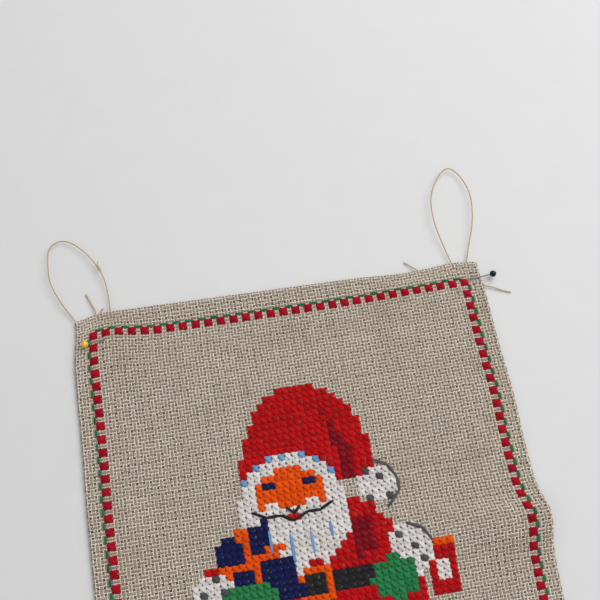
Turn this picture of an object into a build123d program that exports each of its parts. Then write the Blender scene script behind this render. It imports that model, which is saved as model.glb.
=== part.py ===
"""A cross-stitched wall hanging of coarse jute cloth with two twine loops and two glass-headed pins.

It lies face up. The origin is the middle of the back of the top hem: +Y towards the loops, +Z out of
the embroidered face. Millimetres.
"""

import os
from math import asin, atan2, cos, degrees, pi, radians, sin, tan

from build123d import *

os.makedirs("parts", exist_ok=True)

# Cloth woven for eight stitches to the inch. A stitch's place is counted in cells, across and down from
# the cross in the top left corner of the border.
cell = 25.4 / 8
columns = 60
rows = 82
side_margin = 3.1 * cell
end_margin = 3.75 * cell
width = columns * cell + 2 * side_margin
height = rows * cell + 2 * end_margin

# The cloth is one layer, turned once to the back all round.
cloth = 1.1
layer_gap = 0.1
thickness = 2 * cloth + layer_gap
fold = 1.8
hem_width = 14.5
corner_radius = 3.0
edge_radius = 1.1
mitre_gap = 0.3
top_edge = hem_width / 2
bottom_edge = top_edge - height
middle_y = (top_edge + bottom_edge) / 2
right_edge = width / 2

# Stitches.
cross_leg = 1.2 * cell
cross_width = 1.1
cross_height = 0.8
running_length = 1.15 * cell
running_width = 0.85
running_height = 0.5
running_offset = 0.72
patch_height = 0.8
patch_seam = 0.1
outline_width = 0.7
outline_height = 0.3
hem_stitch_length = 2.6
hem_stitch_size = 0.5
hem_stitch_pitch = 3

# Twine, and the loose end of red thread.
twine = 0.7
red_thread = 0.5
thread_clearance = 0.05
knot_length = 4.0
knot_diameter = 1.9

# Glass-headed pins.
pin_diameter = 0.6
pin_length = 24.0
pin_point = 2.5
pin_clearance = 0.05
pin_head = 3.4
pin_socket = 0.5
yellow_tip_height = 0.3
yellow_turn = 9.0
black_turn = 184.6
black_drop = 5.0
black_rest = 3.2

# The twine's routes: x, distance past the top edge, height above the back.
left_loop_route = (
    (-103.0, 0.3, 1.2),
    (-112.8, 15.3, 2.6),
    (-112.9, 31.5, 3.4),
    (-111.4, 40.6, 2.2),
    (-102.8, 43.3, 1.6),
    (-92.1, 32.5, 2.4),
    (-84.1, 15.8, 2.8),
    (-84.9, 0.3, 1.2),
)
right_loop_route = (
    (90.6, 0.3, 1.2),
    (88.1, 10.2, 2.4),
    (85.6, 25.4, 3.6),
    (87.6, 41.6, 3.8),
    (98.8, 56.4, 2.4),
    (105.6, 52.7, 1.8),
    (109.6, 38.5, 3.0),
    (106.5, 21.6, 3.6),
    (101.6, 9.7, 2.4),
    (97.8, 0.3, 1.2),
)
left_tail_route = (
    (-96.6, -1.3, 1.15),
    (-93.6, -1.3, 1.15),
    (-91.6, 0.7, 1.15),
    (-92.9, 4.2, 0.9),
    (-94.2, 7.6, 0.6),
    (-95.9, 11.9, 0.45),
)
right_inner_tail_route = (
    (75.8, -1.3, 1.15),
    (73.0, -1.3, 1.15),
    (70.9, 0.5, 1.15),
    (68.4, 3.1, 0.8),
    (66.0, 5.3, 0.45),
)
right_side_tail_route = (
    (103.4, -10.4, 1.15),
    (103.3, -12.6, 1.15),
    (105.2, -14.4, 1.15),
    (108.6, -15.1, 0.9),
    (112.6, -17.6, 0.55),
    (117.4, -19.3, 0.45),
)
red_end_route = (
    (-89.3, -0.9, 1.4),
    (-89.6, 0.9, 1.5),
    (-88.9, 2.3, 1.2),
    (-87.9, 2.9, 0.7),
)


def place(across, down):
    """The middle of a cell, counted from the top left border cross."""
    return ((across - columns / 2) * cell, top_edge - end_margin - down * cell)


# ---- The motif: a gift bringer in a red cap, with parcels -------------------------------------------

motif = {}


def oval(colour, across, down, half_across, half_down, lowest=rows):
    """Fills the cells inside an ellipse, down to the row called lowest."""
    for a in range(columns):
        for b in range(min(rows, lowest + 1)):
            if ((a - across) / half_across) ** 2 + ((b - down) / half_down) ** 2 <= 1:
                motif[a, b] = colour


def block(colour, left, top, right, bottom):
    """Fills a rectangle of cells, both ends counted."""
    for a in range(left, right + 1):
        for b in range(top, bottom + 1):
            motif[a, b] = colour


def shape(colour, *corners):
    """Fills the cells whose middles are inside a polygon."""
    for b in range(rows):
        crossings = []
        for (a0, b0), (a1, b1) in zip(corners, corners[1:] + corners[:1]):
            if (b0 <= b) != (b1 <= b):
                crossings.append(a0 + (b - b0) * (a1 - a0) / (b1 - b0))
        crossings.sort()
        for left, right in zip(crossings[::2], crossings[1::2]):
            for a in range(columns):
                if left <= a <= right:
                    motif[a, b] = colour


def dots(colour, *cells):
    """Fills single cells."""
    for a, b in cells:
        motif[a, b] = colour


def coat():
    shape("red", (33, 29), (38, 32), (41.5, 36), (43, 40), (43, 55), (14, 55), (16, 40), (13, 38), (20, 33))
    shape("dark_red", (35, 33.5), (37, 34), (37.5, 38), (35, 39.5))
    shape("dark_red", (22, 46), (23.5, 46), (21.5, 53), (19.5, 53))
    shape("dark_red", (35, 47), (36.5, 47), (39.5, 53), (37.5, 53))
    block("white", 13, 54, 43, 56)
    dots("grey", (15, 56), (19, 55), (24, 56), (29, 55), (34, 56), (38, 55), (42, 56))


def boots():
    block("red", 19, 57, 26, 59)
    block("red", 31, 57, 38, 59)
    block("white", 18, 60, 27, 61)
    block("white", 30, 60, 39, 61)
    block("black", 19, 62, 26, 66)
    block("black", 31, 62, 38, 66)
    oval("black", 19.5, 65.5, 4.0, 1.8)
    oval("black", 37.5, 65.5, 4.0, 1.8)


def belt():
    block("black", 20, 41, 37, 43)
    block("orange", 26, 40, 30, 44)
    block("black", 27, 41, 29, 43)
    block("white", 28, 45, 29, 53)
    dots("grey", (28, 47), (29, 50), (28, 53))


def cap():
    oval("red", 29.6, 25.4, 9.9, 12.9, lowest=27)
    shape("dark_red", (33, 17), (34.5, 19), (36, 23), (36.5, 27.5), (34.5, 27.5), (34, 22))
    oval("white", 39.2, 29.0, 3.0, 2.9)
    dots("grey", (38, 31), (40, 28), (41, 31), (38, 27))


def head():
    oval("white", 26.5, 33.0, 8.4, 5.9)
    oval("white", 26.5, 29.4, 7.6, 6.9)
    dots("blue", (20, 26), (22, 24), (24, 23), (26, 23), (29, 23), (31, 24), (33, 26))
    oval("orange", 26.5, 28.2, 5.3, 3.9)
    block("white", 23, 25, 24, 25)
    block("white", 29, 25, 30, 25)
    block("navy", 23, 27, 24, 27)
    block("navy", 29, 27, 30, 27)
    block("orange", 26, 29, 27, 30)
    oval("white", 23.6, 31.2, 3.2, 1.3)
    oval("white", 29.4, 31.2, 3.2, 1.3)
    block("red", 26, 32, 27, 32)
    shape("white", (20, 36), (33, 36), (30, 39.6), (28, 37.6), (26, 40.6), (24, 37.6), (22, 38.6))


def parcels():
    shape("navy", (14, 34.5), (22, 32), (24.5, 40), (16.5, 42.5))
    shape("navy", (20.5, 38.5), (25.4, 37.5), (26.4, 43.4), (21.5, 44.4))
    shape("orange", (17.4, 32.6), (18.9, 32.6), (21.4, 42), (19.9, 42))
    shape("orange", (14.5, 38), (24.5, 35.2), (24.9, 36.6), (15, 39.4))
    block("red", 45, 40, 48, 46)
    block("white", 46, 42, 47, 44)
    block("orange", 45, 39, 48, 39)
    block("green", 8, 60, 16, 66)
    block("red", 12, 60, 13, 66)
    block("red", 11, 58, 14, 59)
    block("navy", 41, 58, 49, 66)
    block("orange", 45, 58, 46, 66)
    block("orange", 41, 62, 49, 62)


def hands():
    oval("white", 13.6, 40.4, 2.9, 2.4)
    dots("grey", (12, 41), (14, 39), (15, 41))
    oval("green", 18.4, 42.6, 3.9, 2.6)
    oval("white", 42.4, 39.4, 3.1, 3.9)
    dots("grey", (41, 37), (43, 39), (42, 42), (44, 41))
    oval("green", 39.4, 43.0, 3.4, 3.2)


coat()
boots()
belt()
cap()
head()
parcels()
hands()

# Back-stitched lines run from hole to hole, at the corners of the cells.
outlines = {
    "black": (
        ((20.5, 30.5), (22.5, 31.5), (24.5, 31.5), (26.5, 32.5), (28.5, 31.5), (30.5, 31.5), (32.5, 30.5)),
        ((25.5, 30.5), (26.5, 31.5), (27.5, 30.5)),
    ),
    "blue": (
        ((22.5, 33.5), (22.5, 36.5)),
        ((25.5, 34.5), (25.5, 38.5)),
        ((28.5, 34.5), (28.5, 37.5)),
        ((31.5, 33.5), (31.5, 35.5)),
    ),
    "grey": (
        ((39.5, 25.5), (41.5, 26.5), (42.5, 28.5), (42.5, 30.5), (40.5, 32.5)),
        ((42.5, 35.5), (44.5, 36.5), (45.5, 38.5)),
    ),
}


def patch_runs(colour):
    """Each unbroken row of one colour: its first cell, last cell and row."""
    for b in range(rows):
        row = sorted(a for a, down in motif if down == b and motif[a, down] == colour)
        for a in row:
            if a - 1 not in row:
                last = a
                while last + 1 in row:
                    last += 1
                yield a, last, b


# ---- Twine and loose thread ends --------------------------------------------------------------------


def route_points(route):
    return [Vector(x, top_edge + past, z) for x, past, z in route]


def route_radii(points):
    """The largest arc that the two runs at each corner allow."""
    radii = []
    for before, corner, after in zip(points, points[1:], points[2:]):
        run_in = corner - before
        run_out = after - corner
        half_turn = radians(run_in.get_angle(run_out)) / 2
        radii.append(0.45 * min(run_in.length, run_out.length) / tan(half_turn))
    return radii


def tube(route, diameter):
    """A round thread along a route."""
    points = route_points(route)
    with BuildPart() as made:
        with BuildLine() as path:
            FilletPolyline(*points, radius=route_radii(points))
        with BuildSketch(Plane(origin=path.line @ 0, z_dir=path.line % 0)):
            Circle(diameter / 2)
        sweep()
    return made.part


def report_route(name, route, solid):
    """Prints a route's arcs, its length, and its volume beside its section times its length."""
    points = route_points(route)
    with BuildLine() as path:
        FilletPolyline(*points, radius=route_radii(points))
    length = sum(edge.length for edge in path.edges())
    expected = length * pi * (twine / 2) ** 2
    radii = [round(radius, 1) for radius in route_radii(points)]
    print(name, "length", round(length, 1), "volume", round(solid.volume, 2), round(expected, 2), radii)


twine_routes = {
    "left_loop_twine": left_loop_route,
    "right_loop_twine": right_loop_route,
    "left_twine_tail": left_tail_route,
    "right_twine_inner_tail": right_inner_tail_route,
    "right_twine_side_tail": right_side_tail_route,
}
for name, route in twine_routes.items():
    strand = tube(route, twine)
    report_route(name, route, strand)
    strand.label = name
    export_step(strand, f"parts/{name}.step")

red_end = tube(red_end_route, red_thread)
red_end.label = "red_thread_end"
export_step(red_end, "parts/red_thread_end.step")

# The knot that ties the left loop's twine sits on a straight stretch of it.
knot_points = route_points(left_loop_route)[5:7]
knot_middle = (knot_points[0] + knot_points[1]) / 2
knot_plane = Plane(origin=knot_middle, z_dir=knot_points[1] - knot_points[0])
with BuildPart() as left_loop_knot:
    with BuildSketch(knot_plane.offset(-knot_length / 2)):
        Circle(knot_diameter / 2)
    extrude(amount=knot_length)
    fillet(left_loop_knot.edges(), radius=0.35 * knot_diameter)
    with BuildSketch(knot_plane.offset(-knot_length / 2)):
        Circle(twine / 2)
    extrude(amount=knot_length, mode=Mode.SUBTRACT)
left_loop_knot.part.label = "left_loop_knot"
export_step(left_loop_knot.part, "parts/left_loop_knot.step")


# ---- Pins -------------------------------------------------------------------------------------------


def pin_plane(head, turn, drop):
    """A plane at the head's middle whose normal runs down the shaft to the point."""
    level = cos(radians(drop))
    along = (level * cos(radians(turn)), level * sin(radians(turn)), -sin(radians(drop)))
    return Plane(origin=head, z_dir=along)


def shaft_solid(plane, diameter, end):
    """The steel shaft, sharpened to a point, from its socket in the head."""
    point_start = end - pin_point
    with BuildPart() as made:
        with BuildSketch(plane.offset(pin_socket)):
            Circle(diameter / 2)
        extrude(amount=point_start - pin_socket)
        with BuildSketch(plane.offset(point_start)):
            Circle(diameter / 2)
        with BuildSketch(plane.offset(end)):
            Circle(diameter / 8)
        loft()
    return made.part


def head_solid(plane):
    """The glass bead, with the socket that the shaft is melted into."""
    with BuildPart() as made:
        with Locations(plane.origin):
            Sphere(pin_head / 2)
        with BuildSketch(plane.offset(pin_socket)):
            Circle(pin_diameter / 2)
        extrude(amount=pin_head, mode=Mode.SUBTRACT)
    return made.part


yellow_across, yellow_down = place(-1, 1.27)
yellow_rest = thickness + running_height + pin_head / 2 + pin_clearance
yellow_drop = degrees(asin((yellow_rest - yellow_tip_height) / pin_length))
yellow_plane = pin_plane((yellow_across, yellow_down, yellow_rest), yellow_turn, yellow_drop)
black_plane = pin_plane((right_edge + 4.7, top_edge - 8.9, black_rest), black_turn, black_drop)

for colour, plane in (("yellow", yellow_plane), ("black", black_plane)):
    shaft = shaft_solid(plane, pin_diameter, pin_length)
    shaft.label = f"{colour}_pin_shaft"
    export_step(shaft, f"parts/{colour}_pin_shaft.step")
    bead = head_solid(plane)
    bead.label = f"{colour}_pin_head"
    export_step(bead, f"parts/{colour}_pin_head.step")
    print(colour, "pin head", plane.origin, "slides out along", -plane.z_dir)

# ---- Cloth ------------------------------------------------------------------------------------------

# Where threads and pins pass through the cloth, with clearance all round.
passages = [tube(route, twine + 2 * thread_clearance) for route in list(twine_routes.values())[2:]]
passages.append(tube(red_end_route, red_thread + 2 * thread_clearance))
for plane in (yellow_plane, black_plane):
    passages.append(shaft_solid(plane, pin_diameter + 2 * pin_clearance, pin_length + pin_clearance))

with BuildPart() as panel_cloth:
    with BuildSketch():
        with Locations((0, middle_y)):
            RectangleRounded(width, height, corner_radius)
    extrude(amount=thickness)
    rims = panel_cloth.faces().filter_by(Axis.Z).edges()
    fillet(rims, radius=edge_radius)
    # One layer thick inside the hem.
    with BuildSketch():
        with Locations((0, middle_y)):
            Rectangle(width - 2 * hem_width, height - 2 * hem_width)
    extrude(amount=cloth + layer_gap, mode=Mode.SUBTRACT)
    # The space between the layers, from the hem's edge to the fold.
    with BuildSketch(Plane.XY.offset(cloth)):
        with Locations((0, middle_y)):
            Rectangle(width - 2 * fold, height - 2 * fold)
    extrude(amount=layer_gap, mode=Mode.SUBTRACT)
    # The turned layer meets itself along a slanted cut at each corner.
    corner_offset = (hem_width + fold) / 2
    with BuildSketch():
        for side in (-1, 1):
            for end, y in ((-1, bottom_edge + corner_offset), (1, top_edge - corner_offset)):
                with Locations((side * (right_edge - corner_offset), y)):
                    Rectangle(1.5 * hem_width, mitre_gap, rotation=45 * side * end)
    extrude(amount=cloth, mode=Mode.SUBTRACT)
    for passage in passages:
        add(passage, mode=Mode.SUBTRACT)
panel_cloth.part.label = "panel_cloth"
export_step(panel_cloth.part, "parts/panel_cloth.step")

# Short stitches along the hem's raw edge hold it to the back of the face.
stitch_x = right_edge - hem_width - hem_stitch_size / 2
stitch_y = height / 2 - hem_width - hem_stitch_size / 2
with BuildPart() as hem_stitches:
    with BuildSketch(Plane.XY.offset(cloth + layer_gap - hem_stitch_size)):
        for across in range(hem_stitch_pitch, columns, hem_stitch_pitch):
            for y in (middle_y - stitch_y, middle_y + stitch_y):
                with Locations((place(across, 0)[0], y)):
                    Rectangle(hem_stitch_length, hem_stitch_size)
        for down in range(2 * hem_stitch_pitch, rows - hem_stitch_pitch, hem_stitch_pitch):
            for x in (-stitch_x, stitch_x):
                with Locations((x, place(0, down)[1])):
                    Rectangle(hem_stitch_size, hem_stitch_length)
    extrude(amount=hem_stitch_size)
hem_stitches.part.label = "hem_stitches"
export_step(hem_stitches.part, "parts/hem_stitches.step")

# ---- Border -----------------------------------------------------------------------------------------

cross_places = [place(a, b) for a in range(0, columns + 1, 2) for b in (0, rows)]
cross_places += [place(a, b) for b in range(2, rows, 2) for a in (0, columns)]
with BuildPart() as border_crosses:
    with BuildSketch(Plane.XY.offset(thickness)):
        with Locations(*cross_places):
            Rectangle(cross_leg, cross_width, rotation=45)
            Rectangle(cross_leg, cross_width, rotation=-45)
    extrude(amount=cross_height)
border_crosses.part.label = "border_crosses"
export_step(border_crosses.part, "parts/border_crosses.step")

# A running stitch bridges each gap between two crosses, on their outer side.
with BuildPart() as border_running:
    with BuildSketch(Plane.XY.offset(thickness)):
        for b in (-running_offset, rows + running_offset):
            with Locations(*[place(a, b) for a in range(1, columns, 2)]):
                SlotOverall(running_length, running_width)
        for a in (-running_offset, columns + running_offset):
            with Locations(*[place(a, b) for b in range(1, rows, 2)]):
                SlotOverall(running_length, running_width, rotation=90)
    extrude(amount=running_height)
border_running.part.label = "border_running_stitches"
export_step(border_running.part, "parts/border_running_stitches.step")

# ---- Embroidery: the stitches of one thread colour are one node -------------------------------------

for colour in sorted(set(motif.values())):
    with BuildPart() as patch:
        with BuildSketch(Plane.XY.offset(thickness)):
            for first, last, down in patch_runs(colour):
                with Locations(place((first + last) / 2, down)):
                    Rectangle((last - first + 1) * cell - 2 * patch_seam, cell)
        extrude(amount=patch_height)
    patch.part.label = f"embroidery_{colour}"
    export_step(patch.part, f"parts/embroidery_{colour}.step")

for colour, lines in outlines.items():
    with BuildPart() as outline:
        with BuildSketch(Plane.XY.offset(thickness + patch_height)):
            for line in lines:
                for start, end in zip(line, line[1:]):
                    step = Vector(*place(*end)) - Vector(*place(*start))
                    middle = (Vector(*place(*end)) + Vector(*place(*start))) / 2
                    turn = degrees(atan2(step.Y, step.X))
                    with Locations(middle):
                        SlotOverall(step.length + outline_width, outline_width, rotation=turn)
        extrude(amount=outline_height)
    outline.part.label = f"backstitch_{colour}"
    export_step(outline.part, f"parts/backstitch_{colour}.step")

print("width", round(width, 1), "height", round(height, 1), "cells stitched", len(motif))
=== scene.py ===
"""The looks of a cross-stitched jute wall hanging: woven canvas, stitches, twine loops and pins.

Sizes are millimetres, and a mesh is scaled to metres as it is made. The routes of twine are in
metres, as in the frame. The cloth is laid out flat, then on_cloth() folds it into its hem and
drapes it.
"""

import math

import bpy
import numpy as np
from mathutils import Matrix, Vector


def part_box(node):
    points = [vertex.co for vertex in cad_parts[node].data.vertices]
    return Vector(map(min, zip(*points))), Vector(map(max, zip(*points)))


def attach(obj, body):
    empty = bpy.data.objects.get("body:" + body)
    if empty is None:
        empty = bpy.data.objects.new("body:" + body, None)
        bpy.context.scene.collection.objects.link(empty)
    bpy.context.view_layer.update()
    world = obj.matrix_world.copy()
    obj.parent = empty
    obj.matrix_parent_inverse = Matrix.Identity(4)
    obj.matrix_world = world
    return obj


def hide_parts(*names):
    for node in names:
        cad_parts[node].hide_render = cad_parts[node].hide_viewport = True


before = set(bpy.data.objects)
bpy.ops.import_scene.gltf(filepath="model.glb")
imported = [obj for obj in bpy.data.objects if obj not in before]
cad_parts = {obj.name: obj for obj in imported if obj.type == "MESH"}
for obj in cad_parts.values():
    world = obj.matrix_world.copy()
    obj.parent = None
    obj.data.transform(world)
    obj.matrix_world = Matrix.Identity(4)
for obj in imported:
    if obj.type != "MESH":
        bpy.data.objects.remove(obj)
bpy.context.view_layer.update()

MM = 0.001
draw = np.random.default_rng(20)

# ---- The panel's layout, from the frame --------------------------------------------------------

CELL = 25.4 / 8
COLUMNS = 60
ROWS = 82
panel_low, panel_high = (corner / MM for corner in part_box("panel_cloth"))
RIGHT = panel_high.x
TOP = panel_high.y
BOTTOM = panel_low.y
MIDDLE_Y = (TOP + BOTTOM) / 2
THICKNESS = panel_high.z - panel_low.z
END_MARGIN = 3.75 * CELL
HEM_WIDTH = 14.5

# The canvas folds round a half circle between the middles of its two layers.
LAYER = 1.1
FOLD_RADIUS = (THICKNESS - LAYER) / 2
FRONT_Z = THICKNESS - LAYER / 2
HALF_X = RIGHT - THICKNESS / 2
HALF_Y = (TOP - BOTTOM) / 2 - THICKNESS / 2
FOLD_LENGTH = math.pi * FOLD_RADIUS
LOWEST = 0.2
TURNED = FOLD_LENGTH + HEM_WIDTH - THICKNESS / 2


def place(a, b):
    """Cells across and down from the top left border cross, as x and y on the flat cloth."""
    return (a - COLUMNS / 2) * CELL, TOP - END_MARGIN - b * CELL


# ---- Folding and draping -----------------------------------------------------------------------


def smooth_step(value, low, high):
    """From 0 at low to 1 at high, with no corner at either."""
    share = np.clip((value - low) / (high - low), 0, 1)
    return share * share * (3 - 2 * share)


def hump(value, middle, spread):
    return np.exp(-(((value - middle) / spread) ** 2))


def fold_axis(u, half):
    """Where a flat coordinate lies once folded, its drop, and its normal's two parts."""
    past = np.abs(u) - half
    turn = np.clip(past / FOLD_RADIUS, 0, math.pi)
    back = np.clip(past - FOLD_LENGTH, 0, None)
    lies = np.minimum(np.abs(u), half) + FOLD_RADIUS * np.sin(turn) - back
    drop = FOLD_RADIUS * (1 - np.cos(turn))
    return np.sign(u) * lies, drop, np.sign(u) * np.sin(turn), np.cos(turn)


def drape(x, y):
    """How far a point of the cloth is out of flat: pulled by its stitches, slack, and buckled.

    A term is an amount, times a step or hump at a place across the cloth or below its top edge.
    """
    below = TOP - y
    inside = np.minimum(RIGHT - np.abs(x), np.minimum(below, y - BOTTOM))
    share = (x + RIGHT) / (2 * RIGHT)
    near_top = 1 - smooth_step(below, 12, 55)

    # The side edges, and how the right one bulges at the buckle.
    left_x = 1.3 * hump(y, TOP - 6, 13) - 0.8 * smooth_step(below, 50, 105)
    left_fold = 1.3 * smooth_step(-x, RIGHT - 11, RIGHT - 1) * hump(y, TOP - 3, 14)
    right_x = -0.9 + 0.8 * hump(below, 70, 16) - 0.8 * hump(below, 0, 12)
    right_x = right_x - 0.8 * smooth_step(below, 150, 175)
    bulge = 2.6 * smooth_step(x, 30, RIGHT) * hump(below, 132, 12)
    waist_end = 1 - 0.8 * smooth_step(below, 200, 260)

    # The border's top row and the fold above it, and the sides' stretch up and down.
    top_row = -1.0 + 1.9 * smooth_step(x, 20, 95) + 2.4 * hump(x, -87, 13)
    top_fold = 0.5 - 0.005 * x - 3.0 * smooth_step(-x, 86, 106)
    top_fold = top_fold + 1.1 * hump(x, 92, 9) - 0.9 * hump(x, 62, 13)
    fold_share = smooth_step(below, 12, 0)
    top_y = (top_row * (1 - fold_share) + top_fold * fold_share) * near_top
    left_y = -1.0 * hump(below, 69, 25)
    right_y = -1.3 * hump(below, 105, 28) + 2.0 * smooth_step(below, 142, 180)

    # The single layer sinks between the hems, in slack waves, and rises in one ridge.
    settle = -0.75 * smooth_step(inside, HEM_WIDTH - 1, HEM_WIDTH + 22)
    slack = 0.45 * (1 + np.sin(x / 17 + 1.3 * np.sin(y / 41)) * np.cos(y / 23 + 0.6))
    slack = slack * smooth_step(inside, 0, 30)
    ridge_middle = 131 - 0.10 * (RIGHT - x)
    ridge_spread = np.where(below > ridge_middle, 13, 9)
    ridge = 3.8 * smooth_step(x, 20, RIGHT) * hump(below, ridge_middle, ridge_spread)
    move_x = (left_x * (1 - share) + right_x * share) * waist_end + bulge + left_fold
    move_y = top_y + left_y * (1 - share) + right_y * share
    return move_x, move_y, settle + slack + ridge + pin_dent(x, y) + pin_hump(x, y)


# The line of each pin over the cloth: how far below the top edge it is at x, and its slope.
BLACK_PIN_X, BLACK_PIN_BELOW, BLACK_PIN_SLOPE = RIGHT, 9.28, 0.0805
YELLOW_PIN_X, YELLOW_PIN_BELOW, YELLOW_PIN_SLOPE = -98.43, 15.94, 0.158
PIN_DENT, PIN_DENT_SPREAD = 0.6, 1.5
PIN_HUMP, PIN_HUMP_SPREAD = 0.9, 2.2


def pin_dent(x, y):
    """How far the cloth is pressed down under the black pin, where it lies on the hem."""
    line_y = TOP - BLACK_PIN_BELOW + BLACK_PIN_SLOPE * (x - BLACK_PIN_X)
    return -PIN_DENT * smooth_step(x, 94, 99) * hump(y, line_y, PIN_DENT_SPREAD)


def pin_hump(x, y):
    """How far the cloth is lifted by the yellow pin, where it goes in."""
    line_y = TOP - YELLOW_PIN_BELOW + YELLOW_PIN_SLOPE * (x - YELLOW_PIN_X)
    lifted = PIN_HUMP * smooth_step(x, -91, -88) * smooth_step(-x, 76, 87)
    return lifted * hump(y, line_y, PIN_HUMP_SPREAD)


def on_cloth(x, y, height=0.0):
    """Points on the folded, draped cloth, a height off its mid-surface, and the normals."""
    x, y, height = np.broadcast_arrays(*(np.asarray(v, float) for v in (x, y, height)))
    fx, drop_x, nx, cos_x = fold_axis(x, HALF_X)
    fy, drop_y, ny, cos_y = fold_axis(y - MIDDLE_Y, HALF_Y)
    fy = fy + MIDDLE_Y
    normals = np.stack([nx, ny, cos_x * cos_y], -1)
    normals /= np.linalg.norm(normals, axis=-1, keepdims=True)
    move_x, move_y, rise = drape(fx, fy)
    points = np.stack([fx + move_x, fy + move_y, FRONT_Z - drop_x - drop_y + rise], -1)
    points = points + normals * height[..., None]
    points[..., 2] = np.maximum(points[..., 2], LOWEST)
    return points, normals


# ---- Mesh making -------------------------------------------------------------------------------


class Threads:
    """Collects round or flattened threads and makes one mesh of them."""

    def __init__(self, sides=6):
        self.sides = sides
        self.points, self.quads, self.caps, self.tones = [], [], [], []
        self.count = 0

    def add(self, centres, normals, half_width, half_depth, tone=None):
        """centres and normals are (threads, rings, 3), and the half sizes (threads, rings)."""
        threads, rings = centres.shape[:2]
        along = np.gradient(centres, axis=1)
        across = np.cross(along, normals)
        across /= np.linalg.norm(across, axis=-1, keepdims=True) + 1e-12
        out = np.cross(across, along)
        out /= np.linalg.norm(out, axis=-1, keepdims=True) + 1e-12
        wide = np.broadcast_to(half_width, (threads, rings))[..., None, None]
        deep = np.broadcast_to(half_depth, (threads, rings))[..., None, None]
        angles = np.arange(self.sides) * 2 * math.pi / self.sides
        cos, sin = np.cos(angles)[:, None], np.sin(angles)[:, None]
        ring = centres[:, :, None] + wide * cos * across[:, :, None]
        ring = ring + deep * sin * out[:, :, None]
        self.points.append(ring.reshape(-1, 3))
        index = np.arange(threads * rings * self.sides).reshape(threads, rings, self.sides)
        index = index + self.count
        here, there = index[:, :-1], index[:, 1:]
        quads = np.stack([here, np.roll(here, -1, 2), np.roll(there, -1, 2), there], -1)
        self.quads.append(quads.reshape(-1, 4))
        self.caps.append(index[:, 0, ::-1])
        self.caps.append(index[:, -1])
        if tone is None:
            tone = draw.random(threads)
        tone = np.asarray(tone, float).reshape(threads, -1, 1)
        self.tones.append(np.broadcast_to(tone, (threads, rings, self.sides)).reshape(-1))
        self.count += threads * rings * self.sides

    def build(self, name, material):
        points = np.concatenate(self.points)
        quads = np.concatenate(self.quads)
        caps = np.concatenate(self.caps)
        return mesh_object(name, points, [quads, caps], material, np.concatenate(self.tones))


def mesh_object(name, points, face_groups, material, tones=None, smooth=True):
    """A mesh from points in millimetres and arrays of faces, each array with its own corner count."""
    mesh = bpy.data.meshes.new(name)
    corners = np.concatenate([faces.reshape(-1) for faces in face_groups])
    sizes = np.concatenate([np.full(len(faces), faces.shape[1]) for faces in face_groups])
    starts = np.concatenate([[0], np.cumsum(sizes)[:-1]])
    mesh.vertices.add(len(points))
    mesh.vertices.foreach_set("co", (points * MM).astype(np.float32).reshape(-1))
    mesh.loops.add(len(corners))
    mesh.loops.foreach_set("vertex_index", corners.astype(np.int32))
    mesh.polygons.add(len(sizes))
    mesh.polygons.foreach_set("loop_start", starts.astype(np.int32))
    mesh.polygons.foreach_set("use_smooth", np.full(len(sizes), smooth))
    mesh.update(calc_edges=True)
    mesh.validate()
    if tones is not None:
        layer = mesh.attributes.new("tone", "FLOAT", "POINT")
        layer.data.foreach_set("value", tones.astype(np.float32))
    mesh.materials.append(material)
    made = bpy.data.objects.new(name, mesh)
    bpy.context.collection.objects.link(made)
    return made


# ---- Materials ---------------------------------------------------------------------------------


def new_material(name):
    material = bpy.data.materials.new(name)
    material.use_nodes = True
    tree = material.node_tree
    return material, tree, tree.nodes["Principled BSDF"]


def colour_mix(tree, first, second, share):
    """A node that mixes two colours by a socket."""
    mix = tree.nodes.new("ShaderNodeMix")
    mix.data_type = "RGBA"
    for socket, colour in ((mix.inputs[6], first), (mix.inputs[7], second)):
        if isinstance(colour, tuple):
            socket.default_value = (*colour, 1)
        else:
            tree.links.new(colour, socket)
    tree.links.new(share, mix.inputs[0])
    return mix.outputs[2]


def noise(tree, scale, detail=2.0, stretch=(1, 1, 1)):
    """Noise in the object's own coordinates; scale is features per metre."""
    coordinates = tree.nodes.new("ShaderNodeTexCoord")
    mapping = tree.nodes.new("ShaderNodeMapping")
    mapping.inputs["Scale"].default_value = stretch
    texture = tree.nodes.new("ShaderNodeTexNoise")
    texture.inputs["Scale"].default_value = scale
    texture.inputs["Detail"].default_value = detail
    tree.links.new(coordinates.outputs["Object"], mapping.inputs["Vector"])
    tree.links.new(mapping.outputs["Vector"], texture.inputs["Vector"])
    return texture.outputs["Fac"]


def map_range(tree, value, low=0.0, high=1.0, to_low=0.0, to_high=1.0):
    """Maps a socket's range from low to high onto another."""
    node = tree.nodes.new("ShaderNodeMapRange")
    node.inputs["From Min"].default_value = low
    node.inputs["From Max"].default_value = high
    node.inputs["To Min"].default_value = to_low
    node.inputs["To Max"].default_value = to_high
    tree.links.new(value, node.inputs["Value"])
    return node.outputs["Result"]


def scaled(tree, value, factor, added=None):
    """A socket times a factor, plus another socket if one is given."""
    node = tree.nodes.new("ShaderNodeMath")
    node.operation = "MULTIPLY" if added is None else "MULTIPLY_ADD"
    tree.links.new(value, node.inputs[0])
    node.inputs[1].default_value = factor
    if added is not None:
        tree.links.new(added, node.inputs[2])
    return node.outputs[0]


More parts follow.
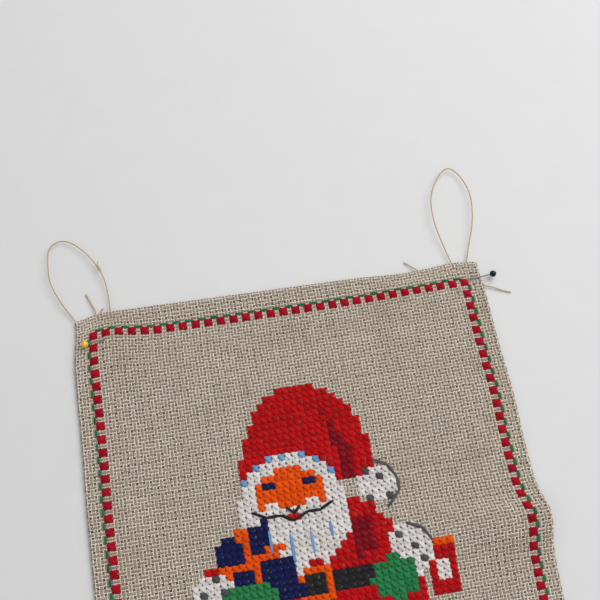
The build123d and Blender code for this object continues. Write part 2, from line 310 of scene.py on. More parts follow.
def twist(tree, pitch, direction):
    """Slanting bands across a thread, as its plies make, one pitch in millimetres apart."""
    coordinates = tree.nodes.new("ShaderNodeTexCoord")
    mapping = tree.nodes.new("ShaderNodeMapping")
    mapping.inputs["Rotation"].default_value = (0.3, 0.2, math.radians(direction))
    wave = tree.nodes.new("ShaderNodeTexWave")
    wave.inputs["Scale"].default_value = 2 * math.pi / (20 * pitch * MM)
    wave.inputs["Distortion"].default_value = 1.5
    wave.inputs["Detail"].default_value = 1.0
    wave.inputs["Detail Scale"].default_value = 2.0
    tree.links.new(coordinates.outputs["Object"], mapping.inputs["Vector"])
    tree.links.new(mapping.outputs["Vector"], wave.inputs["Vector"])
    return wave.outputs["Fac"]


def bump(tree, shader, height, strength, distance):
    node = tree.nodes.new("ShaderNodeBump")
    node.inputs["Strength"].default_value = strength
    node.inputs["Distance"].default_value = distance * MM
    tree.links.new(height, node.inputs["Height"])
    tree.links.new(node.outputs["Normal"], shader.inputs["Normal"])


# How much each of a thread's plies, fibres and own tone says about its colour; the plies' dark bands
# are painted shade in the grooves between them.
TONE_SHARE = 0.35


def thread_material(
    name, dark, light, roughness=0.75, sheen=0.02, ply=0.45, direction=45, stain=None
):
    """Spun thread in two tones, dark and light, and in patches the colour of a stain. The dark tone
    also paints shade into the grooves of the plies' twist.
    """
    material, tree, shader = new_material(name)
    tone = tree.nodes.new("ShaderNodeAttribute")
    tone.attribute_name = "tone"
    fibres = map_range(tree, noise(tree, 2200, 3.0), 0.3, 0.7)
    tone_and_groove_shade = scaled(tree, fibres, TONE_SHARE)
    tone_and_groove_shade = scaled(tree, tone.outputs["Fac"], TONE_SHARE, tone_and_groove_shade)
    # The twist's bands darken the colour in the grooves between plies, as painted shade; the same
    # bands make the bumps.
    tone_and_groove_shade = scaled(tree, twist(tree, ply, direction), TONE_SHARE, tone_and_groove_shade)
    colour = colour_mix(tree, dark, light, tone_and_groove_shade)
    if stain:
        patches = map_range(tree, noise(tree, 28, 3.0), 0.56, 1.05)
        colour = colour_mix(tree, colour, stain, patches)
    tree.links.new(colour, shader.inputs["Base Color"])
    shader.inputs["Roughness"].default_value = roughness
    shader.inputs["Specular IOR Level"].default_value = 0.1
    shader.inputs["Sheen Weight"].default_value = sheen
    shader.inputs["Sheen Roughness"].default_value = 0.5
    bump(tree, shader, tone_and_groove_shade, 0.7, 0.12)
    return material


def gloss_material(name, colour, roughness, metallic=0.0, coat=0.0, specular=0.5):
    """Glass or polished metal with faint waves and dust in its gloss."""
    material, tree, shader = new_material(name)
    smear = map_range(tree, noise(tree, 900, 2.0), 0.35, 0.75)
    lighter = tuple(min(1.0, c * 1.25 + 0.01) for c in colour)
    tree.links.new(colour_mix(tree, colour, lighter, smear), shader.inputs["Base Color"])
    uneven = map_range(tree, smear, to_low=roughness, to_high=roughness * 1.8)
    tree.links.new(uneven, shader.inputs["Roughness"])
    shader.inputs["Metallic"].default_value = metallic
    shader.inputs["Specular IOR Level"].default_value = specular
    shader.inputs["Coat Weight"].default_value = coat
    shader.inputs["Coat Roughness"].default_value = 0.04
    bump(tree, shader, noise(tree, 700, 1.0), 0.15, 0.05)
    return material


THREAD_TONES = {
    "red": ((0.20, 0.0006, 0.0015), (0.70, 0.004, 0.007)),
    "dark_red": ((0.10, 0.0005, 0.004), (0.32, 0.003, 0.014)),
    "white": ((0.42, 0.39, 0.375), (0.90, 0.855, 0.83)),
    "blue": ((0.08, 0.20, 0.42), (0.22, 0.42, 0.68)),
    "orange": ((0.50, 0.035, 0.0005), (1.0, 0.115, 0.001)),
    "navy": ((0.002, 0.004, 0.030), (0.010, 0.015, 0.105)),
    "black": ((0.006, 0.006, 0.008), (0.03, 0.03, 0.035)),
    "green": ((0.008, 0.11, 0.03), (0.03, 0.27, 0.09)),
    "grey": ((0.035, 0.034, 0.038), (0.125, 0.12, 0.13)),
    "crimson": ((0.17, 0.0005, 0.005), (0.52, 0.003, 0.020)),
    "pink": ((0.40, 0.01, 0.05), (0.85, 0.05, 0.15)),
    "moss": ((0.005, 0.065, 0.025), (0.028, 0.23, 0.085)),
}
thread_materials = {
    name: thread_material(f"thread_{name}", *tones) for name, tones in THREAD_TONES.items()
}
cream_yarn = thread_material(
    "cream_jute",
    (0.46, 0.39, 0.31),
    (0.86, 0.78, 0.675),
    roughness=0.85,
    sheen=0.08,
    ply=0.6,
    direction=40,
    stain=(0.46, 0.36, 0.24),
)
beige_yarn = thread_material(
    "beige_jute",
    (0.19, 0.155, 0.118),
    (0.42, 0.355, 0.28),
    roughness=0.85,
    sheen=0.08,
    ply=0.7,
    direction=40,
    stain=(0.25, 0.18, 0.10),
)
# Partly the colour of matted fibre and partly painted shade, for the dark holes between the yarns.
ground_fuzz = thread_material(
    "ground_fuzz",
    (0.060, 0.044, 0.030),
    (0.15, 0.112, 0.078),
    roughness=0.95,
    sheen=0.04,
    ply=0.6,
    direction=40,
)
sewing_thread = thread_material(
    "sewing_thread", (0.5, 0.43, 0.32), (0.8, 0.73, 0.6), roughness=0.7, sheen=0.08
)
twine_material = thread_material(
    "twine",
    (0.30, 0.19, 0.075),
    (0.76, 0.57, 0.31),
    roughness=0.5,
    sheen=0.04,
    ply=0.5,
    direction=30,
)
yellow_glass = gloss_material("yellow_glass", (0.80, 0.47, 0.008), 0.12, coat=0.4)
black_glass = gloss_material("black_glass", (0.003, 0.003, 0.004), 0.10, coat=0.05, specular=0.3)
pin_steel = gloss_material("pin_steel", (0.17, 0.17, 0.18), 0.30, metallic=1.0)


def on_panel(piece, body="panel", node=None):
    """Rides a piece on a body, and hides the CAD node that it stands for."""
    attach(piece, body)
    if node:
        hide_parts(node)
    return piece


# ---- Camera, floor and lights ------------------------------------------------------------------

camera_data = bpy.data.cameras.new("camera")
camera_data.lens = 60
camera_data.sensor_width = 36
camera_data.clip_start = 0.01
camera = bpy.data.objects.new("camera", camera_data)
camera.location = (-0.0490, -0.1819, 0.4676)
camera.rotation_euler = [math.radians(angle) for angle in (22.03, -3.20, -9.98)]
bpy.context.collection.objects.link(camera)
bpy.context.scene.camera = camera


# ---- Twine -------------------------------------------------------------------------------------

TWINE = 0.7
edge = TOP * MM
LEFT_LOOP = (
    (-0.1023, edge - 0.0019, 0.00120),
    (-0.1128, edge + 0.0153, 0.00260),
    (-0.1129, edge + 0.0315, 0.00340),
    (-0.1114, edge + 0.0406, 0.00220),
    (-0.1028, edge + 0.0433, 0.00160),
    (-0.0921, edge + 0.0325, 0.00240),
    (-0.0841, edge + 0.0158, 0.00280),
    (-0.0849, edge - 0.0006, 0.00120),
)
RIGHT_LOOP = (
    (0.0906, edge - 0.0008, 0.00120),
    (0.0881, edge + 0.0102, 0.00240),
    (0.0856, edge + 0.0254, 0.00360),
    (0.0876, edge + 0.0416, 0.00380),
    (0.0988, edge + 0.0564, 0.00240),
    (0.1056, edge + 0.0527, 0.00180),
    (0.1096, edge + 0.0385, 0.00300),
    (0.1065, edge + 0.0216, 0.00360),
    (0.1016, edge + 0.0097, 0.00240),
    (0.0978, edge - 0.0008, 0.00120),
)
LEFT_TAIL = (
    (-0.0966, edge - 0.0013, 0.00115),
    (-0.0936, edge - 0.0013, 0.00115),
    (-0.0916, edge + 0.0007, 0.00115),
    (-0.0929, edge + 0.0042, 0.00090),
    (-0.0942, edge + 0.0076, 0.00060),
    (-0.0959, edge + 0.0119, 0.00045),
)
RIGHT_INNER_TAIL = (
    (0.0758, edge - 0.0013, 0.00115),
    (0.0730, edge - 0.0013, 0.00115),
    (0.0709, edge + 0.0005, 0.00115),
    (0.0684, edge + 0.0031, 0.00080),
    (0.0660, edge + 0.0053, 0.00045),
)
RIGHT_SIDE_TAIL = (
    (0.1034, edge - 0.0104, 0.00115),
    (0.1033, edge - 0.0126, 0.00115),
    (0.1052, edge - 0.0144, 0.00115),
    (0.1086, edge - 0.0151, 0.00090),
    (0.1126, edge - 0.0176, 0.00055),
    (0.1174, edge - 0.0193, 0.00045),
)
RED_END = (
    (-0.0893, edge - 0.0009, 0.00140),
    (-0.0896, edge + 0.0009, 0.00150),
    (-0.0889, edge + 0.0023, 0.00120),
    (-0.0879, edge + 0.0029, 0.00070),
)


def smooth_line(route):
    """The smooth line of a thread whose NURBS control points are the route, as points in metres."""
    curve = bpy.data.curves.new("route", "CURVE")
    curve.dimensions = "3D"
    spline = curve.splines.new("NURBS")
    spline.points.add(len(route) - 1)
    for point, corner in zip(spline.points, route):
        point.co = (*corner, 1)
    spline.order_u = 3
    spline.use_endpoint_u = True
    spline.resolution_u = 16
    holder = bpy.data.objects.new("route", curve)
    mesh = bpy.data.meshes.new_from_object(holder)
    points = np.array([tuple(vertex.co) for vertex in mesh.vertices])
    bpy.data.objects.remove(holder)
    bpy.data.meshes.remove(mesh)
    bpy.data.curves.remove(curve)
    return points


def evenly(points, step):
    """The same line with its points about a step apart, in the points' own units."""
    lengths = np.concatenate([[0], np.cumsum(np.linalg.norm(np.diff(points, axis=0), axis=1))])
    count = max(4, int(round(lengths[-1] / step)) + 1)
    wanted = np.linspace(0, lengths[-1], count)
    return np.stack([np.interp(wanted, lengths, points[:, k]) for k in range(3)], -1), lengths[-1]


def frames_along(line):
    """Two directions square to a line at each of its points, without twist."""
    along = np.gradient(line, axis=0)
    along /= np.linalg.norm(along, axis=1, keepdims=True)
    first = np.cross(along, (0, 0, 1.0))
    first /= np.linalg.norm(first, axis=1, keepdims=True)
    return first, np.cross(first, along)


PLIES = 2


def twisted(name, route, diameter, material, lay=2.4, step=0.3, whiskers=0.0):
    """A twine of twisted plies on a route. Gives the piece, its line in metres and its length."""
    line, length = evenly(smooth_line(route) / MM, step)
    first, second = frames_along(line)
    turn = np.arange(len(line)) * (length / (len(line) - 1)) * 2 * math.pi / lay
    threads = Threads(sides=8)
    for ply in range(PLIES):
        angle = turn + 2 * math.pi * ply / PLIES
        out = np.cos(angle)[:, None] * first + np.sin(angle)[:, None] * second
        centres = line + 0.24 * diameter * out
        tone = [0.4 + 0.3 * ply]
        threads.add(centres[None], out[None], 0.31 * diameter, 0.27 * diameter, tone=tone)
    if whiskers:
        add_whiskers(threads, line, first, second, int(length * whiskers), diameter)
    return threads.build(name, material), line * MM, length * MM


def add_whiskers(threads, line, first, second, count, diameter):
    """Fine loose fibres that stand off a twine."""
    for _ in range(count):
        k = draw.integers(4, len(line) - 4)
        angle = draw.random() * 2 * math.pi
        out = math.cos(angle) * first[k] + math.sin(angle) * second[k]
        along = line[k + 2] - line[k - 2]
        along /= np.linalg.norm(along)
        size = draw.uniform(0.4, 1.3)
        share = np.linspace(0, 1, 5)[:, None]
        lean = along * draw.choice((-1, 1)) * size
        points = line[k] + out * (0.25 * diameter + 0.5 * size * share**1.4) + lean * share
        points[:, 2] = np.maximum(points[:, 2], 0.05)
        threads.add(points[None], np.broadcast_to(out, (1, 5, 3)), 0.03, 0.03, tone=[0.9])


left_loop, left_line, left_length = twisted(
    "left_loop_cord", LEFT_LOOP, TWINE, twine_material, whiskers=0.5
)
right_loop, right_line, right_length = twisted(
    "right_loop_cord", RIGHT_LOOP, TWINE, twine_material, whiskers=0.4
)
left_tail, inner_tail, side_tail = (
    twisted(name, route, TWINE, twine_material, whiskers=0.8)[0]
    for name, route in (
        ("left_cord_tail", LEFT_TAIL),
        ("right_cord_inner_tail", RIGHT_INNER_TAIL),
        ("right_cord_side_tail", RIGHT_SIDE_TAIL),
    )
)
red_end, _, _ = twisted(
    "crimson_thread_end", RED_END, 0.5, thread_materials["pink"], lay=1.6, step=0.2
)


def knot():
    """The knot in the left loop: two and a half tight turns round the twine, and a cut end."""
    low, high = (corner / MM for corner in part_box("left_loop_knot"))
    middle = np.array((low + high) / 2)
    line, _ = evenly(left_line / MM, 0.2)
    nearest = int(np.argmin(np.linalg.norm(line - middle, axis=1)))
    first, second = frames_along(line)
    turns = 2.5
    steps = 60
    span = 9
    share = np.linspace(0, 1, steps)
    at = np.clip(nearest - span + (2 * span * share), 0, len(line) - 1).astype(int)
    angle = share * turns * 2 * math.pi
    swell = TWINE * (0.62 + 0.16 * np.sin(share * math.pi))
    out = np.cos(angle)[:, None] * first[at] + np.sin(angle)[:, None] * second[at]
    centres = line[at] + out * swell[:, None]
    threads = Threads(sides=8)
    threads.add(centres[None], out[None], 0.30, 0.26, tone=[0.6])
    slide = np.linspace(0, 1, 9)[:, None]
    cut_end = line[nearest - span] + first[nearest] * (-0.5 - 1.2 * slide) + second[nearest] * 0.35
    cut_end = cut_end + (line[nearest - span] - line[nearest]) * slide * 0.9
    threads.add(cut_end[None], np.broadcast_to(second[nearest], (1, 9, 3)), 0.3, 0.28, tone=[0.5])
    return threads.build("left_cord_knot", twine_material)


left_knot = knot()
on_panel(left_loop, "left_loop", "left_loop_twine")
on_panel(left_knot, "left_loop", "left_loop_knot")
on_panel(right_loop, "right_loop", "right_loop_twine")
on_panel(left_tail, "panel", "left_twine_tail")
on_panel(inner_tail, "panel", "right_twine_inner_tail")
on_panel(side_tail, "panel", "right_twine_side_tail")
on_panel(red_end, "panel", "red_thread_end")


# ---- Woven cloth -------------------------------------------------------------------------------

# Each cell has one thick beige yarn each way, and a cream one on both sides of it.
FIRST_COLUMN, LAST_COLUMN = -8, COLUMNS + 8
FIRST_ROW, LAST_ROW = -9, ROWS + 9
SPREAD = 0.25
BEIGE_HALF = (0.42, 0.25)
CREAM_HALF = (0.35, 0.22)
SWING = 0.25


def drift(count, spread):
    """A smooth random line of about unit size."""
    knots = draw.normal(size=max(4, int(count / spread) + 3))
    at = np.linspace(0, len(knots) - 1, count)
    share = at % 1
    share = share * share * (3 - 2 * share)
    low = np.clip(at.astype(int), 0, len(knots) - 2)
    return knots[low] * (1 - share) + knots[low + 1] * share


def warp_over(warp_offset, weft_offset, a, b):
    """Whether the warp yarn lies over the weft yarn: both cream ones cross the other way round."""
    even = (a + b) % 2 == 0
    return np.where((warp_offset != 0) & (weft_offset != 0), ~even, even)


def crossings(first, last):
    """The cells and the offsets in them of all the yarns from one cell to another."""
    cells = np.repeat(np.arange(first, last + 1), 3)
    return cells, np.tile([-SPREAD, 0.0, SPREAD], last + 1 - first)


def lay_yarn(threads, cell, offset, runs_down):
    """Adds one yarn, over and under those it crosses, round the folds and to the hem's raw edge."""
    if runs_down:
        across = place(cell + offset, 0)[0]
        past = abs(across) - HALF_X
        other_half, middle = HALF_Y, MIDDLE_Y
        cells, offsets = crossings(FIRST_ROW, LAST_ROW)
        along = place(0, cells + offsets)[1] - middle
        over = warp_over(offset, offsets, cell, cells)
    else:
        across = place(0, cell + offset)[1]
        past = abs(across - MIDDLE_Y) - HALF_Y
        other_half, middle = HALF_X, 0.0
        cells, offsets = crossings(FIRST_COLUMN, LAST_COLUMN)
        along = place(cells + offsets, 0)[0]
        over = ~warp_over(offsets, offset, cells, cell)
    if past > TURNED:
        return
    reach = other_half + min(TURNED, FOLD_LENGTH - past)
    order = np.argsort(along)
    along, height = along[order], np.where(over, SWING, -SWING)[order]
    ends = reach + draw.normal(size=2) * 0.25
    keep = (along > -ends[0]) & (along < ends[1])
    fold = other_half + FOLD_LENGTH * np.linspace(-0.1, 1.1, 7)
    folds = np.concatenate([-fold[::-1], fold])
    folds = folds[(folds > -ends[0]) & (folds < ends[1])]
    positions = np.concatenate([[-ends[0]], along[keep], folds, [ends[1]]])
    heights = np.concatenate([[0], height[keep], np.interp(folds, along, height), [0]])
    order = np.argsort(positions)
    positions, heights = positions[order], heights[order]
    # Spun yarn wanders, swells and changes tone along its length.
    wobble = 0.07 * drift(len(positions), 9) + 0.03 * draw.normal(size=len(positions))
    slub = 1 + 0.10 * drift(len(positions), 6) + 0.05 * draw.normal(size=len(positions))
    slub = np.clip(slub, 0.72, 1.35)
    tone = 0.5 + 0.22 * draw.normal() + 0.22 * drift(len(positions), 8)
    beige = offset == 0
    half_width, half_depth = BEIGE_HALF if beige else CREAM_HALF
    if runs_down:
        centres, normals = on_cloth(across + wobble, positions + middle, heights)
    else:
        centres, normals = on_cloth(positions, across + wobble, heights)
    threads.add(
        centres[None],
        normals[None],
        half_width * slub[None],
        half_depth * (0.6 + 0.4 * slub[None]),
        tone=np.clip(tone, 0, 1)[None],
    )


def weave(name, material, first, last, offsets, runs_down):
    """One band of yarns that run the same way."""
    threads = Threads()
    for cell in range(first, last + 1):
        for offset in offsets:
            lay_yarn(threads, cell, offset, runs_down)
    return on_panel(threads.build(name, material))


def bands(first, last, count):
    """Splits a range of cells in bands of about the same width."""
    edges = np.linspace(first, last + 1, count + 1).astype(int)
    return list(zip(edges[:-1], edges[1:] - 1))


for kind, material, offsets, count in (
    ("beige", beige_yarn, (0.0,), 2),
    ("cream", cream_yarn, (-SPREAD, SPREAD), 3),
):
    for way, first, last in (("warp", FIRST_COLUMN, LAST_COLUMN), ("weft", FIRST_ROW, LAST_ROW)):
        for number, (start, stop) in enumerate(bands(first, last, count), 1):
            name = f"{kind}_{way}_yarns_{number}"
            weave(name, material, start, stop, offsets, way == "warp")


def ground():
    """A thin sheet at mid-thickness between the yarns, folded with them and mitred at the corners. It
    stands for the matted fibre there, and its dark colour is painted shade seen through the holes
    between the yarns.
    """
    bend = FOLD_LENGTH / 2
    spread = np.concatenate([[0, 0.33, 0.66], np.linspace(1, TURNED - bend, 12)])
    rim = np.concatenate([-spread[:0:-1], spread]) + bend

    def lines(half):
        inner = np.linspace(0, half + rim[0], int(half / 3) + 1)[:-1]
        side = np.concatenate([inner[1:], half + rim])
        return np.concatenate([-side[::-1], [0], side])

    across, along = lines(HALF_X), lines(HALF_Y)
    past_x = (np.abs(across) - HALF_X)[:, None]
    past_y = (np.abs(along) - HALF_Y)[None]
    kept = past_x + past_y <= FOLD_LENGTH + 1e-6
    points, _ = on_cloth(across[:, None], along[None] + MIDDLE_Y)
    index = np.cumsum(kept).reshape(kept.shape) - 1
    corners = [(0, 0), (1, 0), (1, 1), (0, 1)]
    quads, triangles = [], []
    for i in range(len(across) - 1):
        for j in range(len(along) - 1):
            there = [index[i + p, j + q] for p, q in corners if kept[i + p, j + q]]
            if len(there) == 4:
                quads.append(there)
            elif len(there) == 3:
                triangles.append(there)
    faces = [np.array(quads), np.array(triangles)]
    made = mesh_object("panel_ground", points[kept], faces, ground_fuzz)
    solid = made.modifiers.new("thickness", "SOLIDIFY")
    solid.thickness = 0.18 * MM
    solid.offset = 0
    return made


panel_ground = on_panel(ground(), node="panel_cloth")


# ---- Stitches ----------------------------------------------------------------------------------

CLOTH_TOP = 0.50
STRAND = (0.52, 0.28)
FINE_STRAND = (0.36, 0.25)
LEG_X, LEG_Y = 0.46, 0.55


def stitch(threads, start, end, lift, strands=2, pitch=0.62, size=STRAND, sag=0.15, tone=None):
    """A stitch from hole to hole, in cells, its strands side by side and lifted off the cloth."""
    start, end = np.array(start, float), np.array(end, float)
    jitter = draw.normal(size=(2, 2)) * 0.035
    start, end = start + jitter[0], end + jitter[1]
    side = np.array([-(end - start)[1], (end - start)[0]])
    side /= np.linalg.norm(side)
    share = np.array([0.0, 0.07, 0.2, 0.38, 0.5, 0.62, 0.8, 0.93, 1.0])
    arch = np.array([-0.35, 0.45, 0.86, 0.97, 1.0, 0.97, 0.86, 0.45, -0.35])
    swell = np.array([0.75, 0.90, 1.0, 1.06, 1.08, 1.06, 1.0, 0.90, 0.75])
    tone = draw.random() if tone is None else tone
    for strand in range(strands):
        shift = (strand - (strands - 1) / 2) * pitch / CELL
        spread = shift * (0.65 + 0.35 * np.sin(math.pi * share))
        bow = draw.normal() * 0.02 * np.sin(math.pi * share)
        cells = start + (end - start) * share[:, None] + side * (spread + bow)[:, None]
        height = lift * arch * (1 - sag * draw.random() * 0.4)
        x, y = place(cells[:, 0], cells[:, 1])
        centres, normals = on_cloth(x, y, height)
        fat = 1 + 0.06 * draw.normal()
        strand_tone = np.clip(tone + 0.15 * draw.normal(), 0, 1)
        half_width = size[0] * swell * fat
        threads.add(centres[None], normals[None], half_width, size[1], tone=[strand_tone])


def back_stitch(threads, start, end, size=STRAND):
    """The flat part of a stitch that crosses the back of the cloth from hole to hole."""
    start, end = np.array(start, float), np.array(end, float)
    share = np.array([0.0, 0.12, 0.5, 0.88, 1.0])
    cells = start + (end - start) * share[:, None] + draw.normal(size=2) * 0.05
    height = -np.array([0.1, 0.58, 0.66, 0.58, 0.1])
    x, y = place(cells[:, 0], cells[:, 1])
    centres, normals = on_cloth(x, y, height)
    threads.add(centres[None], normals[None], size[0] * 1.3, 0.2)


def cross(threads, a, b, strands=2, pitch=0.70, leg=LEG_X):
    """A cross stitch over one cell, and its short stitch on the back."""
    lift = CLOTH_TOP + 0.27
    stitch(threads, (a - leg, b + LEG_Y), (a + leg, b - LEG_Y), lift, strands, pitch)
    stitch(threads, (a - leg, b - LEG_Y), (a + leg, b + LEG_Y), lift + 0.36, strands, pitch)
    back_stitch(threads, (a - 0.5, b - 0.5), (a - 0.5, b + 0.5))


BORDER_LEG = 0.56
border_cells = [(a, b) for a in range(0, COLUMNS + 1, 2) for b in (0, ROWS)]
border_cells += [(a, b) for b in range(2, ROWS, 2) for a in (0, COLUMNS)]
border = Threads()
for a, b in border_cells:
    cross(border, a, b, strands=3, pitch=0.60, leg=BORDER_LEG)
border_piece = border.build("border_cross_stitches", thread_materials["crimson"])
on_panel(border_piece, node="border_crosses")

RUNNING_OFFSET = 0.72
RUNNING_HALF = 0.60
running = Threads()


def running_stitch(start, end):
    stitch(running, start, end, CLOTH_TOP + 0.15, pitch=0.46, size=FINE_STRAND)


for b in (-RUNNING_OFFSET, ROWS + RUNNING_OFFSET):
    for a in range(1, COLUMNS, 2):
        running_stitch((a - RUNNING_HALF, b), (a + RUNNING_HALF, b))
for a in (-RUNNING_OFFSET, COLUMNS + RUNNING_OFFSET):
    for b in range(1, ROWS, 2):
        running_stitch((a, b - RUNNING_HALF), (a, b + RUNNING_HALF))
running_piece = running.build("border_running_thread", thread_materials["moss"])
on_panel(running_piece, node="border_running_stitches")


# ---- The motif: a gift bringer with parcels, stitch for stitch as in the frame ----------------

motif = {}


def oval(colour, across, down, half_across, half_down, lowest=ROWS):
    """Fills the cells inside an ellipse, down to the row called lowest."""
    for a in range(COLUMNS):
        for b in range(min(ROWS, lowest + 1)):
            if ((a - across) / half_across) ** 2 + ((b - down) / half_down) ** 2 <= 1:
                motif[a, b] = colour


def block(colour, left, top, right, bottom):
    """Fills a rectangle of cells, both ends counted."""
    for a in range(left, right + 1):
        for b in range(top, bottom + 1):
            motif[a, b] = colour


def shape(colour, *corners):
    """Fills the cells whose middles are inside a polygon."""
    for b in range(ROWS):
        crossings = []
        for (a0, b0), (a1, b1) in zip(corners, corners[1:] + corners[:1]):
            if (b0 <= b) != (b1 <= b):
                crossings.append(a0 + (b - b0) * (a1 - a0) / (b1 - b0))
        crossings.sort()
        for left, right in zip(crossings[::2], crossings[1::2]):
            for a in range(COLUMNS):
                if left <= a <= right:
                    motif[a, b] = colour


def dots(colour, *cells):
    """Fills single cells."""
    for a, b in cells:
        motif[a, b] = colour


def coat():
    right = (33, 29), (38, 32), (41.5, 36), (43, 40), (43, 55)
    left = (14, 55), (16, 40), (13, 38), (20, 33)
    shape("red", *right, *left)
    shape("dark_red", (35, 33.5), (37, 34), (37.5, 38), (35, 39.5))
    shape("dark_red", (22, 46), (23.5, 46), (21.5, 53), (19.5, 53))
    shape("dark_red", (35, 47), (36.5, 47), (39.5, 53), (37.5, 53))
    block("white", 13, 54, 43, 56)
    dots("grey", (15, 56), (19, 55), (24, 56), (29, 55), (34, 56), (38, 55), (42, 56))


def boots():
    block("red", 19, 57, 26, 59)
    block("red", 31, 57, 38, 59)
    block("white", 18, 60, 27, 61)
    block("white", 30, 60, 39, 61)
    block("black", 19, 62, 26, 66)
    block("black", 31, 62, 38, 66)
    oval("black", 19.5, 65.5, 4.0, 1.8)
    oval("black", 37.5, 65.5, 4.0, 1.8)


def belt():
    block("black", 20, 41, 37, 43)
    block("orange", 26, 40, 30, 44)
    block("black", 27, 41, 29, 43)
    block("white", 28, 45, 29, 53)
    dots("grey", (28, 47), (29, 50), (28, 53))


def cap():
    oval("red", 29.6, 25.4, 9.9, 12.9, lowest=27)
    shape("dark_red", (33, 17), (34.5, 19), (36, 23), (36.5, 27.5), (34.5, 27.5), (34, 22))
    oval("white", 39.2, 29.0, 3.0, 2.9)
    dots("grey", (38, 31), (40, 28), (41, 31), (38, 27))


def head():
    oval("white", 26.5, 33.0, 8.4, 5.9)
    oval("white", 26.5, 29.4, 7.6, 6.9)
    dots("blue", (20, 26), (22, 24), (24, 23), (26, 23), (29, 23), (31, 24), (33, 26))
    oval("orange", 26.5, 28.2, 5.3, 3.9)
    block("white", 23, 25, 24, 25)
    block("white", 29, 25, 30, 25)
    block("navy", 23, 27, 24, 27)
    block("navy", 29, 27, 30, 27)
    block("orange", 26, 29, 27, 30)
    oval("white", 23.6, 31.2, 3.2, 1.3)
    oval("white", 29.4, 31.2, 3.2, 1.3)
    block("red", 26, 32, 27, 32)
    shape("white", (20, 36), (33, 36), (30, 39.6), (28, 37.6), (26, 40.6), (24, 37.6), (22, 38.6))


def parcels():
    shape("navy", (14, 34.5), (22, 32), (24.5, 40), (16.5, 42.5))
    shape("navy", (20.5, 38.5), (25.4, 37.5), (26.4, 43.4), (21.5, 44.4))
    shape("orange", (17.4, 32.6), (18.9, 32.6), (21.4, 42), (19.9, 42))
    shape("orange", (14.5, 38), (24.5, 35.2), (24.9, 36.6), (15, 39.4))
    block("red", 45, 40, 48, 46)
    block("white", 46, 42, 47, 44)
    block("orange", 45, 39, 48, 39)
    block("green", 8, 60, 16, 66)
    block("red", 12, 60, 13, 66)
    block("red", 11, 58, 14, 59)
    block("navy", 41, 58, 49, 66)
    block("orange", 45, 58, 46, 66)
    block("orange", 41, 62, 49, 62)


def hands():
    oval("white", 13.6, 40.4, 2.9, 2.4)
    dots("grey", (12, 41), (14, 39), (15, 41))
    oval("green", 18.4, 42.6, 3.9, 2.6)
    oval("white", 42.4, 39.4, 3.1, 3.9)
    dots("grey", (41, 37), (43, 39), (42, 42), (44, 41))
    oval("green", 39.4, 43.0, 3.4, 3.2)


coat()
boots()
belt()
cap()
head()
parcels()
hands()

# Back-stitched lines run from hole to hole, at the corners of the cells.
outlines = {
    "black": (
        (
            (20.5, 30.5),
            (22.5, 31.5),
            (24.5, 31.5),
            (26.5, 32.5),
            (28.5, 31.5),
            (30.5, 31.5),
            (32.5, 30.5),
        ),
        ((25.5, 30.5), (26.5, 31.5), (27.5, 30.5)),
    ),
    "blue": (
        ((22.5, 33.5), (22.5, 36.5)),
        ((25.5, 34.5), (25.5, 38.5)),
        ((28.5, 34.5), (28.5, 37.5)),
        ((31.5, 33.5), (31.5, 35.5)),
    ),
    "grey": (
        ((39.5, 25.5), (41.5, 26.5), (42.5, 28.5), (42.5, 30.5), (40.5, 32.5)),
        ((42.5, 35.5), (44.5, 36.5), (45.5, 38.5)),
    ),
}


# The red stitches are two pieces, because one would have too many faces.
CAP_BOTTOM = 31
patches = {}
for (a, b), colour in sorted(motif.items()):
    name = colour
    if colour == "red":
        name = "red_upper" if b <= CAP_BOTTOM else "red_lower"
    cross(patches.setdefault(name, Threads()), a, b)
for name, patch in sorted(patches.items()):
    colour = name.replace("_upper", "").replace("_lower", "")
    piece = patch.build(f"cross_stitches_{name}", thread_materials[colour])
    on_panel(piece, node=f"embroidery_{colour}")

for colour, lines in outlines.items():
    outline = Threads()
    lift = CLOTH_TOP + 0.95
    for line in lines:
        for start, end in zip(line, line[1:]):
            over = 0.12 * (np.array(end) - start)
            stitch(outline, start - over, end + over, lift, pitch=0.52, size=(0.42, 0.28), sag=0)
    piece = outline.build(f"outline_stitches_{colour}", thread_materials[colour])
    on_panel(piece, node=f"backstitch_{colour}")

# Small slanting stitches hold the hem's raw edge to the back of the face.
HEM_PITCH = 3
hem = Threads()
hem_x, hem_y = RIGHT - HEM_WIDTH, (TOP - BOTTOM) / 2 - HEM_WIDTH


def hem_stitch(x, y, inward_x, inward_y):
    """A slanting stitch over the raw edge, from a point on it towards the middle of the back."""
    share = np.linspace(0, 1, 7)
    slant = draw.normal() * 0.2 + 0.8
    reach = -1.4 + 2.6 * share
    along = (share - 0.5) * 2.2 * slant
    px = x + inward_x * reach + abs(inward_y) * along
    py = y + inward_y * reach + abs(inward_x) * along
    edge_height = np.interp(reach, (-1.4, -0.9, 0.2, 0.9, 1.2), (0.5, -0.02, 0.1, 0.75, 1.2))
    face, _ = on_cloth(px, py)
    height = np.maximum(0.22, face[:, 2] - 1.2 + edge_height)
    points = np.stack([face[:, 0], face[:, 1], height], -1)
    up = np.broadcast_to((0, 0, -1.0), (1, 7, 3))
    hem.add(points[None], up, 0.24, 0.2, tone=[draw.random()])


for a in range(HEM_PITCH, COLUMNS, HEM_PITCH):
    for side in (-1, 1):
        hem_stitch(place(a, 0)[0], MIDDLE_Y + side * hem_y, 0, -side)
for b in range(2 * HEM_PITCH, ROWS - HEM_PITCH, HEM_PITCH):
    for side in (-1, 1):
        hem_stitch(side * hem_x, place(0, b)[1], -side, 0)
on_panel(hem.build("hem_slip_stitches", sewing_thread), node="hem_stitches")


# ---- Loose fibres of the cloth -----------------------------------------------------------------


HAIR_POINTS = 6
HAIR_HALF = 0.028


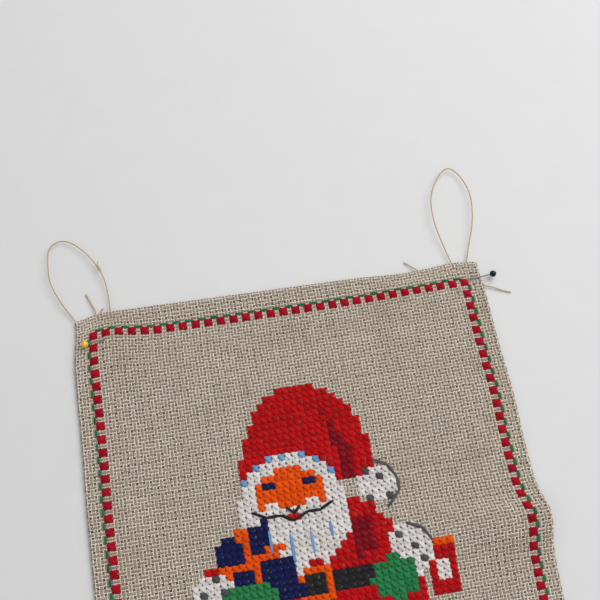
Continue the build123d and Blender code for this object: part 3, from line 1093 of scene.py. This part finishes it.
def fibres(name, count, material, border_only=False):
    """Fine hairs that stand off the face and the folds, or only off the border's stitches."""
    threads = Threads(sides=3)
    for _ in range(count):
        on_edge = draw.random() < 0.35 and not border_only
        x = draw.uniform(-HALF_X, HALF_X)
        y = draw.uniform(-HALF_Y, HALF_Y)
        if border_only:
            a, b = border_cells[draw.integers(len(border_cells))]
            x, y = place(a + draw.normal() * 0.9, b + draw.normal() * 0.9)
            y -= MIDDLE_Y
        if on_edge and draw.random() < 0.5:
            x = draw.choice((-1, 1)) * (HALF_X + draw.uniform(0, FOLD_LENGTH / 2))
        elif on_edge:
            y = draw.choice((-1, 1)) * (HALF_Y + draw.uniform(0, FOLD_LENGTH / 2))
        angle = draw.random() * 2 * math.pi
        size = draw.uniform(0.8, 2.6)
        share = np.linspace(0, 1, HAIR_POINTS)
        curl = angle + draw.normal() * 1.5 * share
        stand = 0.5 + draw.uniform(0.1, 0.5) * np.sin(share * math.pi * 0.8) * size
        step_x = np.cumsum(np.cos(curl)) * size / HAIR_POINTS
        step_y = np.cumsum(np.sin(curl)) * size / HAIR_POINTS
        centre, normal = on_cloth(x, y + MIDDLE_Y)
        sideways = np.cross(normal, (0, 1.0, 0) if abs(normal[1]) < 0.8 else (1.0, 0, 0))
        sideways /= np.linalg.norm(sideways)
        forward = np.cross(normal, sideways)
        points = centre + sideways * step_x[:, None] + forward * step_y[:, None]
        points = points + normal * stand[:, None]
        points[:, 2] = np.maximum(points[:, 2], 0.05)
        normals = np.broadcast_to(normal, (1, HAIR_POINTS, 3))
        threads.add(points[None], normals, HAIR_HALF, HAIR_HALF, tone=[0.9])
    return threads.build(name, material)


loose_fibres = on_panel(fibres("loose_fibres", 1400, cream_yarn))
thread_lint = fibres("thread_lint", 160, thread_materials["pink"], border_only=True)
on_panel(thread_lint)

# ---- Pins --------------------------------------------------------------------------------------

for node, material in (
    ("yellow_pin_head", yellow_glass),
    ("black_pin_head", black_glass),
    ("yellow_pin_shaft", pin_steel),
    ("black_pin_shaft", pin_steel),
):
    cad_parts[node].material_slots[0].material = material

# ---- Floor and lights --------------------------------------------------------------------------

floor_material, floor_tree, floor_shader = new_material("floor")
floor_patches = noise(floor_tree, 60, 4.0)
floor_tone = colour_mix(floor_tree, (0.67, 0.67, 0.67), (0.70, 0.70, 0.70), floor_patches)
floor_tree.links.new(floor_tone, floor_shader.inputs["Base Color"])
floor_shader.inputs["Roughness"].default_value = 0.9
floor_shader.inputs["Specular IOR Level"].default_value = 0.1
FLOOR = 3000
FLOOR_Z = -0.2
floor_corners = ((-1, -1), (1, -1), (1, 1), (-1, 1))
floor_points = np.array([(a * FLOOR, b * FLOOR, FLOOR_Z) for a, b in floor_corners])
floor_face = [np.array([[0, 1, 2, 3]])]
floor = mesh_object("floor", floor_points, floor_face, floor_material, smooth=False)


def area_light(name, location, size, watts):
    """A soft square light that faces the middle of the panel."""
    lamp = bpy.data.lights.new(name, "AREA")
    lamp.size = size
    lamp.energy = watts
    made = bpy.data.objects.new(name, lamp)
    made.location = location
    target = Vector((0, MIDDLE_Y * MM, 0))
    made.rotation_euler = (target - made.location).to_track_quat("-Z", "Y").to_euler()
    bpy.context.collection.objects.link(made)


area_light("key", (0.60, 0.40, 1.00), 1.1, 12.5)
area_light("fill", (-0.6, -0.9, 1.1), 1.2, 1.5)
world = bpy.data.worlds.new("studio")
world.use_nodes = True
world.node_tree.nodes["Background"].inputs["Color"].default_value = (1.0, 1.0, 1.0, 1)
world.node_tree.nodes["Background"].inputs["Strength"].default_value = 0.46
bpy.context.scene.world = world
bpy.context.scene.view_settings.view_transform = "Standard"
